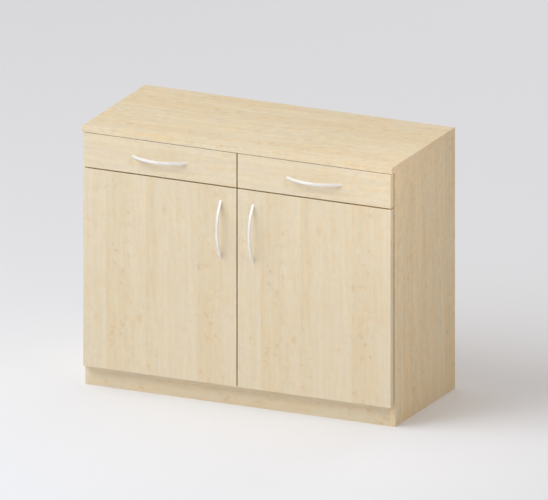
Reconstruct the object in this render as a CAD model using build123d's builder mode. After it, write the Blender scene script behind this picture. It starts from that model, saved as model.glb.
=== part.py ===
from build123d import *
import math
import os

# Sideboard with two drawers over two doors.
# X runs to the right, Y to the back and Z up. The origin is on the floor, under the middle of
# the whole object with its handles.

# Overall sizes, in millimetres
width = 1000.0
depth = 440.0
height = 800.0
board = 19.0
plinth_height = 65.0
drawer_row_height = 99.0
edge_radius = 1.2

# Air round the fronts
front_stand_off = 4.0
front_inset = 4.0
middle_gap = 4.0
row_gap = 4.0
top_gap = 2.0
door_drop = 2.3

# Back panel in its grooves
back_thickness = 6.0
back_inset = 12.0
groove_depth = 8.0
groove_play = 0.2
groove_end_play = 0.5

# Shelf and its pins
shelf_side_play = 0.8
shelf_front_setback = 20.0
shelf_back_play = 2.0
shelf_pin_radius = 2.5
shelf_pin_depth = 10.0
shelf_pin_reach = 9.0
shelf_pin_front = 60.0
shelf_pin_back = 50.0
shelf_hole_pitch = 32.0
shelf_hole_steps = 1

# Dowels and cam fittings
dowel_radius = 4.0
dowel_in_face = 11.0
dowel_in_edge = 19.0
dowel_play = 0.1
dowel_end_play = 0.5
cam_radius = 7.5
cam_cover = 0.9
cam_setback = 24.0
cam_play = 0.1
cam_slot_length = 9.0
cam_slot_width = 1.4
cam_slot_depth = 2.0
bolt_radius = 3.0
bolt_thread_depth = 10.0
fitting_front = 45.0
fitting_back = 60.0
fitting_pair = 32.0

# Screws
screw_radius = 1.9
screw_head_radius = 3.4
screw_head_height = 1.2
screw_length = 8.4
screw_play = 0.05

# Bow handles
handle_length = 180.0
handle_projection = 31.0
handle_thickness = 6.0
handle_width = 8.0
handle_foot = 14.0
handle_rounding = 2.3
handle_screw_spacing = 160.0
handle_screw_radius = 2.0
handle_screw_grip = 4.5
door_handle_inset = 50.0
door_handle_drop = 41.0

# Drawer boxes
box_board = 12.0
box_height = 70.0
box_lift = 12.0
box_length = 350.0
drawer_bottom_thickness = 5.0
drawer_bottom_lift = 10.0
drawer_groove_depth = 6.0

# Roller runners
runner_room = 12.5
runner_sheet = 1.2
track_height = 22.0
track_reach = 10.0
track_start = 2.0
roller_radius = 9.2
roller_width = 6.2
roller_offset = 3.0
roller_play = 0.3
roller_groove = 1.0
roller_setback = 13.0
axle_radius = 2.5
axle_play = 0.06
axle_overhang = 0.6
runner_screw_setback = 45.0

# Concealed hinges
hinge_from_end = 90.0
cup_radius = 17.5
cup_wall = 1.0
cup_edge = 4.0
cup_play = 0.1
cup_floor_play = 0.4
flange_length = 45.0
flange_height = 26.0
flange_thickness = 1.0
pivot_from_cup_edge = 4.5
pin_radius = 1.5
pin_play = 0.05
eye_radius = 2.6
arm_thickness = 2.4
arm_height = 10.0
arm_leg_inset = 9.0
arm_start = 5.0
arm_body_length = 57.0
arm_body_height = 15.0
lug_length = 4.4
lug_play = 0.5
plate_thickness = 3.5
plate_front = 28.0
plate_length = 36.0
plate_wing_height = 46.0
plate_wing_thickness = 2.0
plate_wing_length = 16.0
plate_screw_spacing = 32.0

# Door bumpers
bumper_radius = 3.2
bumper_play = 0.2
bumper_inset = 14.0

# Planes and levels worked out from the sizes
y_front = handle_projection - (depth + handle_projection) / 2
y_rear = y_front + depth
y_front_back = y_front + board
y_carcass = y_front_back + front_stand_off
x_outer = width / 2
x_inner = x_outer - board
z_top = height - board
deck_top = z_top - drawer_row_height
deck_bottom = deck_top - board
deck_middle = deck_top - board / 2
floor_top = plinth_height + board
back_outer = y_rear - back_inset
back_inner = back_outer - back_thickness
divider_half = board / 2
door_bottom = plinth_height - door_drop
door_top = deck_middle - row_gap / 2
drawer_front_bottom = deck_middle + row_gap / 2
drawer_front_top = z_top - top_gap
x_front_edge = x_outer - front_inset
hands = {"left": -1, "right": 1}
centred = (Align.CENTER, Align.CENTER, Align.CENTER)
rising = (Align.CENTER, Align.CENTER, Align.MIN)

os.makedirs("parts", exist_ok=True)


def slab(x, y, z, mode=Mode.ADD):
    """A box between two limits on each axis."""
    middle = tuple((ends[0] + ends[1]) / 2 for ends in (x, y, z))
    sizes = [abs(ends[1] - ends[0]) for ends in (x, y, z)]
    with Locations(middle):
        Box(*sizes, mode=mode)


def joint_plane(x, y, z, direction):
    """A plane at a joint between two boards, looking along the dowel or bolt that crosses it."""
    across = (0, 1, 0) if direction[1] == 0 else (1, 0, 0)
    return Plane(origin=(x, y, z), x_dir=across, z_dir=direction)


def drill(planes, radius, reach):
    """Blind holes that run from each plane into the piece being made."""
    with Locations(*planes):
        Hole(radius, reach)


# Where dowels and cam bolts cross the joints, by board
cam_depth = board / 2 + bolt_radius + cam_cover
y_fittings = (y_carcass + fitting_front, back_inner - fitting_back)
y_dowels = (y_fittings[0] + fitting_pair, y_fittings[1] - fitting_pair)
z_plinth_dowels = (plinth_height / 4, plinth_height * 3 / 4)
y_plinth_front = y_carcass
y_plinth_rear = back_outer - board


def side_joints(level, rows, sign):
    """Planes on one side panel's inner face, looking into the end of a board at this level."""
    return [joint_plane(sign * x_inner, y, level, (-sign, 0, 0)) for y in rows]


def top_joints(rows, sign):
    """Planes on the underside of the top, looking down into the top edge of a side panel."""
    return [joint_plane(sign * (x_outer - board / 2), y, z_top, (0, 0, -1)) for y in rows]


floor_level = plinth_height + board / 2
dowels_floor = {s: side_joints(floor_level, y_dowels, s) for s in hands.values()}
dowels_deck = {s: side_joints(deck_middle, y_dowels, s) for s in hands.values()}
dowels_top = {s: top_joints(y_dowels, s) for s in hands.values()}
bolts_floor = {s: side_joints(floor_level, y_fittings, s) for s in hands.values()}
bolts_deck = {s: side_joints(deck_middle, y_fittings, s) for s in hands.values()}
bolts_top = {s: top_joints(y_fittings, s) for s in hands.values()}
dowels_plinth = {
    row: {
        s: [joint_plane(s * x_inner, y + board / 2, z, (-s, 0, 0)) for z in z_plinth_dowels]
        for s in hands.values()
    }
    for row, y in (("front", y_plinth_front), ("rear", y_plinth_rear))
}
dowels_divider_foot = [joint_plane(0, y, deck_top, (0, 0, 1)) for y in y_fittings]
dowels_divider_head = [joint_plane(0, y, z_top, (0, 0, -1)) for y in y_fittings]

# Hinge places: inwards from the side's outer face, and forwards from the carcass
pivot_in = front_inset + cup_edge + pivot_from_cup_edge
pivot_out = front_stand_off + board / 2
cup_in = front_inset + cup_edge + cup_radius
cup_depth = board / 2 + eye_radius + cup_floor_play + cup_wall
lug_far_edge = cup_in - pivot_in + lug_length / 2
lug_reach = math.sqrt((cup_radius - cup_wall / 2) ** 2 - lug_far_edge**2)
arm_leg_in = board + arm_leg_inset
z_hinges = (door_bottom + hinge_from_end, door_top - hinge_from_end)
y_pivot = y_carcass - pivot_out
y_plate = y_carcass + plate_front
y_plate_screws = y_plate + plate_length / 2

# Runner places: every runner hangs on a wall and faces into its drawer's bay
track_level = deck_top + box_lift
roller_level = track_level + roller_play + roller_radius
rail_under = roller_level + roller_radius + roller_play
box_bottom = track_level + runner_sheet
y_track_start = y_carcass + track_start
y_box_end = y_front_back + box_length
y_front_roller = y_track_start + roller_setback
y_rear_roller = y_box_end - roller_setback
y_track_screws = (y_track_start + runner_screw_setback, y_box_end - runner_screw_setback)
z_track_screws = track_level + track_height / 2
bays = {
    "left": {"outer": (-x_inner, 1), "inner": (-divider_half, -1)},
    "right": {"outer": (x_inner, -1), "inner": (divider_half, 1)},
}


def wall_planes(wall, facing):
    """Planes on a bay's wall at the runner screws, looking into the wall."""
    return [joint_plane(wall, y, z_track_screws, (-facing, 0, 0)) for y in y_track_screws]


def plate_planes(sign):
    """Planes on a side's inner face at the hinge plate screws, looking into the side."""
    half = plate_screw_spacing / 2
    levels = [z + step for z in z_hinges for step in (-half, half)]
    return [joint_plane(sign * x_inner, y_plate_screws, z, (sign, 0, 0)) for z in levels]


# Shelf pin holes and the shelf's level
shelf_bottom = (floor_top + deck_bottom - board) / 2
y_shelf_pins = (y_carcass + shelf_pin_front, back_inner - shelf_pin_back)
z_shelf_pins = shelf_bottom - shelf_pin_radius
shelf_hole_levels = [
    z_shelf_pins + step * shelf_hole_pitch for step in range(-shelf_hole_steps, shelf_hole_steps + 1)
]


def shelf_pin_planes(sign, levels):
    """Planes on a side's inner face at the shelf pin holes, looking into the side."""
    return [joint_plane(sign * x_inner, y, z, (sign, 0, 0)) for z in levels for y in y_shelf_pins]


# Side panels, with rounded front edges, the back panel's groove and the borings for every fitting
for hand, sign in hands.items():
    with BuildPart() as side:
        slab((sign * x_inner, sign * x_outer), (y_carcass, y_rear), (0, z_top))
        front_edges = side.edges().filter_by(Axis.Z).group_by(Axis.Y)[0]
        fillet(front_edges, edge_radius)
        slab(
            (sign * x_inner, sign * (x_inner + groove_depth)),
            (back_inner - groove_play, back_outer + groove_play),
            (plinth_height, z_top),
            mode=Mode.SUBTRACT,
        )
        face_dowels = dowels_floor[sign] + dowels_deck[sign]
        face_dowels += dowels_plinth["front"][sign] + dowels_plinth["rear"][sign]
        drill(face_dowels, dowel_radius + dowel_play, dowel_in_face + dowel_end_play)
        drill(dowels_top[sign], dowel_radius + dowel_play, dowel_in_edge + dowel_end_play)
        drill(bolts_floor[sign] + bolts_deck[sign], bolt_radius + cam_play, bolt_thread_depth)
        drill(bolts_top[sign], bolt_radius + cam_play, cam_setback)
        cam_faces = [
            joint_plane(sign * x_inner, y, z_top - cam_setback, (sign, 0, 0)) for y in y_fittings
        ]
        drill(cam_faces, cam_radius + cam_play, cam_depth + cam_play)
        drill(plate_planes(sign), screw_radius + screw_play, screw_length)
        drill(wall_planes(sign * x_inner, -sign), screw_radius + screw_play, screw_length)
        drill(shelf_pin_planes(sign, shelf_hole_levels), shelf_pin_radius + dowel_play, shelf_pin_depth)
    side.part.label = f"side_{hand}"
    export_step(side.part, f"parts/side_{hand}.step")

# Top panel, its front edge level with the faces of the fronts
with BuildPart() as top_panel:
    slab((-x_outer, x_outer), (y_front, y_rear), (z_top, height))
    upper_rim = top_panel.faces().sort_by(Axis.Z)[-1].edges()
    front_corners = top_panel.edges().filter_by(Axis.Z).group_by(Axis.Y)[0]
    fillet(upper_rim + front_corners, edge_radius)
    slab(
        (-x_inner - groove_depth, x_inner + groove_depth),
        (back_inner - groove_play, back_outer + groove_play),
        (z_top, z_top + groove_depth),
        mode=Mode.SUBTRACT,
    )
    edge_dowels = dowels_top[-1] + dowels_top[1] + dowels_divider_head
    drill(edge_dowels, dowel_radius + dowel_play, dowel_in_face + dowel_end_play)
    drill(bolts_top[-1] + bolts_top[1], bolt_radius + cam_play, bolt_thread_depth)
top_panel.part.label = "top_panel"
export_step(top_panel.part, "parts/top_panel.step")


def crossboard(label, level, dowels, bolts, extra):
    """A level board between the sides, with its end borings and the cam bores in its underside."""
    with BuildPart() as crossing:
        slab((-x_inner, x_inner), (y_carcass, back_inner), (level, level + board))
        drill(dowels[-1] + dowels[1], dowel_radius + dowel_play, dowel_in_edge + dowel_end_play)
        drill(bolts[-1] + bolts[1], bolt_radius + cam_play, cam_setback)
        cams = [
            joint_plane(s * (x_inner - cam_setback), y, level, (0, 0, 1))
            for s in hands.values()
            for y in y_fittings
        ]
        drill(cams, cam_radius + cam_play, cam_depth + cam_play)
        if extra:
            drill(extra, dowel_radius + dowel_play, dowel_in_face + dowel_end_play)
    crossing.part.label = label
    export_step(crossing.part, f"parts/{label}.step")


# Bottom panel of the cupboard, and the deck that carries the drawers
crossboard("bottom_panel", plinth_height, dowels_floor, bolts_floor, [])
crossboard("drawer_deck", deck_bottom, dowels_deck, bolts_deck, dowels_divider_foot)

# Short upright board between the two drawers
with BuildPart() as drawer_divider:
    slab((-divider_half, divider_half), (y_carcass, back_inner), (deck_top, z_top))
    drill(dowels_divider_foot, dowel_radius + dowel_play, dowel_in_edge + dowel_end_play)
    drill(dowels_divider_head, dowel_radius + dowel_play, dowel_in_edge + dowel_end_play)
    for facing in hands.values():
        drill(wall_planes(facing * divider_half, facing), screw_radius + screw_play, screw_length)
drawer_divider.part.label = "drawer_divider"
export_step(drawer_divider.part, "parts/drawer_divider.step")

# Back panel, held in the grooves of the sides and the top
with BuildPart() as back_panel:
    tongue = groove_depth - groove_end_play
    slab(
        (-x_inner - tongue, x_inner + tongue),
        (back_inner, back_outer),
        (plinth_height, z_top + tongue),
    )
back_panel.part.label = "back_panel"
export_step(back_panel.part, "parts/back_panel.step")

# Plinth boards, one level with the sides' front edges and one under the back panel
for row, y_start in (("front", y_plinth_front), ("rear", y_plinth_rear)):
    with BuildPart() as plinth:
        slab((-x_inner, x_inner), (y_start, y_start + board), (0, plinth_height))
        end_dowels = dowels_plinth[row][-1] + dowels_plinth[row][1]
        drill(end_dowels, dowel_radius + dowel_play, dowel_in_edge + dowel_end_play)
    plinth.part.label = f"plinth_{row}"
    export_step(plinth.part, f"parts/plinth_{row}.step")

# Loose shelf across the whole cupboard, and the pins that it lies on
with BuildPart() as shelf:
    slab(
        (-x_inner + shelf_side_play, x_inner - shelf_side_play),
        (y_carcass + shelf_front_setback, back_inner - shelf_back_play),
        (shelf_bottom, shelf_bottom + board),
    )
shelf.part.label = "shelf"
export_step(shelf.part, "parts/shelf.step")

with BuildPart() as shelf_pins:
    for sign in hands.values():
        with Locations(*shelf_pin_planes(-sign, [z_shelf_pins])):
            with Locations((0, 0, -shelf_pin_reach)):
                Cylinder(shelf_pin_radius, shelf_pin_reach + shelf_pin_depth, align=rising)
shelf_pins.part.label = "shelf_pins"
export_step(shelf_pins.part, "parts/shelf_pins.step")

# Beech dowels across every glued or knocked-together joint
all_dowels = dowels_divider_foot + dowels_divider_head
for sign in hands.values():
    all_dowels += dowels_floor[sign] + dowels_deck[sign] + dowels_top[sign]
    all_dowels += dowels_plinth["front"][sign] + dowels_plinth["rear"][sign]

with BuildPart() as dowels:
    with Locations(*all_dowels):
        with Locations((0, 0, -dowel_in_face)):
            Cylinder(dowel_radius, dowel_in_face + dowel_in_edge, align=rising)
dowels.part.label = "dowels"
export_step(dowels.part, "parts/dowels.step")

# Cam housings: each is bored for the end of its bolt and slotted for a screwdriver
cam_planes = []
for sign in hands.values():
    for y in y_fittings:
        towards_side = (sign, 0, 0)
        for level in (plinth_height, deck_bottom):
            place = (sign * (x_inner - cam_setback), y, level)
            cam_planes.append(Plane(origin=place, x_dir=towards_side, z_dir=(0, 0, 1)))
        place = (sign * x_inner, y, z_top - cam_setback)
        cam_planes.append(Plane(origin=place, x_dir=(0, 0, 1), z_dir=(sign, 0, 0)))

with BuildPart() as cam_housings:
    with Locations(*cam_planes):
        Cylinder(cam_radius, cam_depth, align=rising)
        with Locations((0, 0, cam_slot_depth / 2)):
            Box(cam_slot_length, cam_slot_width, cam_slot_depth, mode=Mode.SUBTRACT)
            Box(cam_slot_width, cam_slot_length, cam_slot_depth, mode=Mode.SUBTRACT)
        with Locations(Location((0, 0, board / 2), (0, 90, 0))):
            Cylinder(bolt_radius + cam_play, cam_radius, align=rising, mode=Mode.SUBTRACT)
cam_housings.part.label = "cam_housings"
export_step(cam_housings.part, "parts/cam_housings.step")

# Cam bolts, screwed into the sides or the top and reaching into their cams
all_bolts = []
for sign in hands.values():
    all_bolts += bolts_floor[sign] + bolts_deck[sign] + bolts_top[sign]

with BuildPart() as cam_bolts:
    with Locations(*all_bolts):
        with Locations((0, 0, -bolt_thread_depth)):
            bolt_length = bolt_thread_depth + cam_setback - cam_play
            Cylinder(bolt_radius, bolt_length, align=rising)
cam_bolts.part.label = "cam_bolts"
export_step(cam_bolts.part, "parts/cam_bolts.step")


def screws(planes, seat):
    """Flat-headed screws: each head stands on a face that lies this far in front of its plane."""
    with Locations(*planes):
        with Locations((0, 0, -seat)):
            Cylinder(screw_radius, seat + screw_length, align=rising)
            with Locations((0, 0, -screw_head_height)):
                Cylinder(screw_head_radius, screw_head_height, align=rising)


def pan_holes(planes):
    """Clearance holes for those screws through a thin plate."""
    with Locations(*planes):
        Cylinder(screw_radius + screw_play, 2 * runner_room, align=centred, mode=Mode.SUBTRACT)


# Hinge mounting plates, with their wings, on the sides' inner faces
with BuildPart() as hinge_plates:
    for sign in hands.values():
        for z in z_hinges:
            slab(
                (sign * x_inner, sign * (x_inner - plate_thickness)),
                (y_plate, y_plate + plate_length),
                (z - arm_body_height / 2, z + arm_body_height / 2),
            )
            slab(
                (sign * x_inner, sign * (x_inner - plate_wing_thickness)),
                (y_plate_screws - plate_wing_length / 2, y_plate_screws + plate_wing_length / 2),
                (z - plate_wing_height / 2, z + plate_wing_height / 2),
            )
        pan_holes(plate_planes(sign))
hinge_plates.part.label = "hinge_plates"
export_step(hinge_plates.part, "parts/hinge_plates.step")

with BuildPart() as hinge_plate_screws:
    for sign in hands.values():
        screws(plate_planes(sign), plate_wing_thickness)
hinge_plate_screws.part.label = "hinge_plate_screws"
export_step(hinge_plate_screws.part, "parts/hinge_plate_screws.step")

# Hinge arms: an eye round the pin, a gooseneck out of the cup and a body on the plate
with BuildPart() as hinge_arms:
    for sign in hands.values():
        x_face = sign * x_outer
        x_pivot = x_face - sign * pivot_in
        x_leg = x_face - sign * arm_leg_in
        x_body = x_face - sign * (board + plate_thickness)
        half = arm_thickness / 2
        y_neck = y_carcass + arm_start
        for z in z_hinges:
            low, high = z - arm_height / 2, z + arm_height / 2
            slab((x_pivot, x_leg - sign * half), (y_pivot - half, y_pivot + half), (low, high))
            slab((x_leg + sign * half, x_leg - sign * half), (y_pivot - half, y_neck), (low, high))
            slab(
                (x_body, x_leg - sign * half),
                (y_neck, y_neck + arm_body_length),
                (z - arm_body_height / 2, z + arm_body_height / 2),
            )
            with Locations((x_pivot, y_pivot, z)):
                Cylinder(eye_radius, arm_height)
                Cylinder(pin_radius + pin_play, arm_height, mode=Mode.SUBTRACT)
hinge_arms.part.label = "hinge_arms"
export_step(hinge_arms.part, "parts/hinge_arms.step")

# Cabinet runner profiles: a channel on each wall of the two bays, with a front roller's axle
track_axle_length = roller_offset + roller_width + axle_overhang
for hand, walls in bays.items():
    with BuildPart() as cabinet_runners:
        for wall, facing in walls.values():
            y_run = (y_track_start, y_box_end)
            web = (wall, wall + facing * runner_sheet)
            lip = (wall, wall + facing * track_reach)
            ceiling = track_level + track_height
            slab(web, y_run, (track_level - runner_sheet, ceiling + runner_sheet))
            slab(lip, y_run, (track_level - runner_sheet, track_level))
            slab(lip, y_run, (ceiling, ceiling + runner_sheet))
            with Locations(joint_plane(wall, y_front_roller, roller_level, (facing, 0, 0))):
                Cylinder(axle_radius, track_axle_length, align=rising)
            pan_holes(wall_planes(wall, facing))
    cabinet_runners.part.label = f"cabinet_runners_{hand}"
    export_step(cabinet_runners.part, f"parts/cabinet_runners_{hand}.step")

with BuildPart() as cabinet_runner_screws:
    for walls in bays.values():
        for wall, facing in walls.values():
            screws(wall_planes(wall, facing), runner_sheet)
cabinet_runner_screws.part.label = "cabinet_runner_screws"
export_step(cabinet_runner_screws.part, "parts/cabinet_runner_screws.step")


def roller(label, wall, facing, y):
    """A nylon roller on its axle, with a shallow groove round its tread."""
    with BuildPart() as wheel:
        with BuildSketch(joint_plane(wall + facing * roller_offset, y, roller_level, (facing, 0, 0))):
            Circle(roller_radius)
            Circle(axle_radius + axle_play, mode=Mode.SUBTRACT)
        extrude(amount=roller_width)
        rims = wheel.edges().filter_by(GeomType.CIRCLE).sort_by(SortBy.RADIUS)[-2:]
        chamfer(rims, roller_groove)
    wheel.part.label = label
    export_step(wheel.part, f"parts/{label}.step")


# Front rollers turn on the cabinet's channels and rear rollers on the drawers' rails
for hand, walls in bays.items():
    for place, (wall, facing) in walls.items():
        roller(f"front_roller_{hand}_{place}", wall, facing, y_front_roller)
        roller(f"rear_roller_{hand}_{place}", wall, facing, y_rear_roller)


def shifted(point, direction, distance):
    """The point that lies this far along a direction."""
    return tuple(p + d * distance for p, d in zip(point, direction))


def handle_run(along):
    """The direction of a handle's length: across for drawers, upright for doors."""
    return (1, 0, 0) if along == "x" else (0, 0, 1)


def handle_seats(centre, along):
    """Planes on a front's face at a handle's two screws, looking out into the handle."""
    run = handle_run(along)
    ends = (-handle_screw_spacing / 2, handle_screw_spacing / 2)
    return [Plane(origin=shifted(centre, run, end), x_dir=run, z_dir=(0, -1, 0)) for end in ends]


def bow_handle(label, centre, along):
    """A bow handle on the face of a front: an outer and an inner arc, rounded along its length."""
    half = handle_length / 2
    inner_half = half - handle_foot
    inner_rise = handle_projection - handle_thickness
    run = handle_run(along)
    side_on = Plane(origin=centre, x_dir=run, z_dir=Vector(run).cross(Vector(0, -1, 0)))
    with BuildPart() as handle:
        with BuildSketch(side_on):
            with BuildLine():
                outer = ThreePointArc((-half, 0), (0, handle_projection), (half, 0))
                Line(outer @ 1, (inner_half, 0))
                ThreePointArc((inner_half, 0), (0, inner_rise), (-inner_half, 0))
                Line((-inner_half, 0), outer @ 0)
            make_face()
        extrude(amount=handle_width / 2, both=True)
        long_edges = [edge for edge in handle.edges() if edge.length > 2 * inner_half]
        fillet(long_edges, handle_rounding)
        drill(handle_seats(centre, along), handle_screw_radius + screw_play, handle_screw_grip)
    handle.part.label = label
    export_step(handle.part, f"parts/{label}.step")


def handle_screws(label, centre, along, thickness):
    """The two screws that come through a front of this thickness into its handle."""
    with BuildPart() as pair:
        with Locations(*handle_seats(centre, along)):
            with Locations((0, 0, -thickness)):
                Cylinder(handle_screw_radius, thickness + handle_screw_grip - screw_play, align=rising)
            with Locations((0, 0, -thickness - screw_head_height)):
                Cylinder(2 * handle_screw_radius, screw_head_height, align=rising)
    pair.part.label = label
    export_step(pair.part, f"parts/{label}.step")


def handle_bores(centre, along):
    """Clearance holes for a handle's screws through the board being made."""
    with Locations(*handle_seats(centre, along)):
        Hole(handle_screw_radius + screw_play, board + box_board)


def front_panel(label, x, z, handle_centre, along, cups):
    """An overlay front with its face's edges rounded, bored for its handle and hinge cups."""
    with BuildPart() as panel:
        slab(x, (y_front, y_front_back), z)
        rim = panel.faces().sort_by(Axis.Y)[0].edges()
        corners = panel.edges().filter_by(Axis.Y)
        fillet(rim + corners, edge_radius)
        handle_bores(handle_centre, along)
        for cup in cups:
            with Locations(cup):
                Hole(cup_radius + cup_play, cup_depth + cup_play)
    panel.part.label = label
    export_step(panel.part, f"parts/{label}.step")


# Drawers: each is a box behind its front, hung on a pair of rails
for hand, sign in hands.items():
    name = f"drawer_{hand}"
    x_front = (sign * middle_gap / 2, sign * x_front_edge)
    z_front = (drawer_front_bottom, drawer_front_top)
    handle_centre = (sum(x_front) / 2, y_front, sum(z_front) / 2)
    front_panel(f"{name}_front", x_front, z_front, handle_centre, "x", [])
    bow_handle(f"{name}_handle", handle_centre, "x")
    handle_screws(f"{name}_handle_screws", handle_centre, "x", board + box_board)

    x_near = sign * (divider_half + runner_room)
    x_far = sign * (x_inner - runner_room)
    x_inside = (x_near + sign * box_board, x_far - sign * box_board)
    z_box = (box_bottom, box_bottom + box_height)
    y_inside = (y_front_back + box_board, y_box_end - box_board)
    z_bottom = (
        box_bottom + drawer_bottom_lift,
        box_bottom + drawer_bottom_lift + drawer_bottom_thickness,
    )
    z_groove = (z_bottom[0] - groove_play, z_bottom[1] + groove_play)
    x_groove = (x_inside[0] - sign * drawer_groove_depth, x_inside[1] + sign * drawer_groove_depth)
    y_groove = (y_inside[0] - drawer_groove_depth, y_inside[1] + drawer_groove_depth)

    for place, x_board in (
        ("inner", (x_near, x_inside[0])),
        ("outer", (x_inside[1], x_far)),
    ):
        x_middle = sum(x_board) / 2
        with BuildPart() as box_side:
            slab(x_board, (y_front_back, y_box_end), z_box)
            slab(x_groove, y_groove, z_groove, mode=Mode.SUBTRACT)
            rail_screws = [joint_plane(x_middle, y, box_bottom, (0, 0, 1)) for y in y_track_screws]
            drill(rail_screws, screw_radius + screw_play, screw_length)
        box_side.part.label = f"{name}_side_{place}"
        export_step(box_side.part, f"parts/{name}_side_{place}.step")

    with BuildPart() as inner_front:
        slab(x_inside, (y_front_back, y_inside[0]), z_box)
        slab(x_groove, y_groove, z_groove, mode=Mode.SUBTRACT)
        handle_bores(handle_centre, "x")
    inner_front.part.label = f"{name}_inner_front"
    export_step(inner_front.part, f"parts/{name}_inner_front.step")

    with BuildPart() as box_back:
        slab(x_inside, (y_inside[1], y_box_end), z_box)
        slab(x_groove, y_groove, z_groove, mode=Mode.SUBTRACT)
    box_back.part.label = f"{name}_back"
    export_step(box_back.part, f"parts/{name}_back.step")

    with BuildPart() as box_bottom_panel:
        shrink = groove_end_play
        slab(
            (x_groove[0] + sign * shrink, x_groove[1] - sign * shrink),
            (y_groove[0] + shrink, y_groove[1] - shrink),
            z_bottom,
        )
    box_bottom_panel.part.label = f"{name}_bottom"
    export_step(box_bottom_panel.part, f"parts/{name}_bottom.step")

    with BuildPart() as rails:
        for wall, facing in bays[hand].values():
            x_box = wall + facing * runner_room
            x_web = x_box - facing * runner_sheet
            y_run = (y_front_back, y_box_end)
            rail_top = rail_under + runner_sheet
            slab((x_web, x_box), y_run, (box_bottom - runner_sheet, rail_top))
            slab((wall + facing * roller_offset, x_box), y_run, (rail_under, rail_top))
            foot = (x_web, x_box + facing * box_board)
            slab(foot, y_run, (box_bottom - runner_sheet, box_bottom))
            axle_start = wall + facing * (roller_offset - axle_overhang)
            axle_length = runner_room - roller_offset + axle_overhang - runner_sheet / 2
            with Locations(joint_plane(axle_start, y_rear_roller, roller_level, (facing, 0, 0))):
                Cylinder(axle_radius, axle_length, align=rising)
            x_screws = x_box + facing * box_board / 2
            with Locations(*[(x_screws, y, box_bottom) for y in y_track_screws]):
                Cylinder(screw_radius + screw_play, 2 * box_board, mode=Mode.SUBTRACT)
    rails.part.label = f"{name}_rails"
    export_step(rails.part, f"parts/{name}_rails.step")

    with BuildPart() as rail_fixings:
        for wall, facing in bays[hand].values():
            x_screws = wall + facing * (runner_room + box_board / 2)
            screw_planes = [joint_plane(x_screws, y, box_bottom, (0, 0, 1)) for y in y_track_screws]
            screws(screw_planes, runner_sheet)
    rail_fixings.part.label = f"{name}_rail_screws"
    export_step(rail_fixings.part, f"parts/{name}_rail_screws.step")

# Doors: a panel with a handle, two hinge cups with their pins, and two bumpers
for hand, sign in hands.items():
    name = f"door_{hand}"
    x_door = (sign * middle_gap / 2, sign * x_front_edge)
    z_door = (door_bottom, door_top)
    x_handle = x_door[0] + sign * door_handle_inset
    handle_centre = (x_handle, y_front, door_top - door_handle_drop - handle_length / 2)
    x_cup = sign * (x_outer - cup_in)
    x_pivot = sign * (x_outer - pivot_in)
    cup_planes = [
        Plane(origin=(x_cup, y_front_back, z), x_dir=(1, 0, 0), z_dir=(0, -1, 0)) for z in z_hinges
    ]
    front_panel(f"{name}_panel", x_door, z_door, handle_centre, "z", cup_planes)
    bow_handle(f"{name}_handle", handle_centre, "z")
    handle_screws(f"{name}_handle_screws", handle_centre, "z", board)

    with BuildPart() as hinge_cups:
        cup_floor = y_front_back - cup_depth
        lug_start = arm_height / 2 + lug_play
        for cup_plane, z in zip(cup_planes, z_hinges):
            with Locations(cup_plane):
                Cylinder(cup_radius, cup_depth, align=rising)
                with Locations((0, 0, -flange_thickness)):
                    Box(flange_height, flange_length, flange_thickness, align=rising)
                with Locations((0, 0, -flange_thickness)):
                    bowl_depth = cup_depth - cup_wall + flange_thickness
                    Cylinder(cup_radius - cup_wall, bowl_depth, align=rising, mode=Mode.SUBTRACT)
            for lug_side in (-1, 1):
                slab(
                    (x_pivot - lug_length / 2, x_pivot + lug_length / 2),
                    (cup_floor + cup_wall / 2, y_pivot + lug_length / 2),
                    (z + lug_side * lug_start, z + lug_side * lug_reach),
                )
            with Locations((x_pivot, y_pivot, z)):
                Cylinder(pin_radius + pin_play, 2 * lug_reach, mode=Mode.SUBTRACT)
    hinge_cups.part.label = f"{name}_hinge_cups"
    export_step(hinge_cups.part, f"parts/{name}_hinge_cups.step")

    with BuildPart() as hinge_pins:
        with Locations(*[(x_pivot, y_pivot, z) for z in z_hinges]):
            Cylinder(pin_radius, 2 * lug_reach)
    hinge_pins.part.label = f"{name}_hinge_pins"
    export_step(hinge_pins.part, f"parts/{name}_hinge_pins.step")

    with BuildPart() as bumpers:
        x_bumper = x_door[0] + sign * bumper_inset
        z_low = (door_bottom + floor_top) / 2
        z_high = (deck_bottom + door_top) / 2
        for z in (z_low, z_high):
            with Locations(Plane(origin=(x_bumper, y_front_back, z), x_dir=(1, 0, 0), z_dir=(0, 1, 0))):
                Cylinder(bumper_radius, front_stand_off - bumper_play, align=rising)
    bumpers.part.label = f"{name}_bumpers"
    export_step(bumpers.part, f"parts/{name}_bumpers.step")
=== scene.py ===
"""Looks of a maple sideboard with two drawers over two doors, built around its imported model.

Every length is in metres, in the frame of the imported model: X to the right, Y to the back, Z up.
"""

import logging
import math
from abc import ABC, abstractmethod
from dataclasses import dataclass, field, replace
from enum import Enum
from typing import ClassVar

import bpy
import numpy as np
from mathutils import Color, Euler, Matrix, Vector


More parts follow.
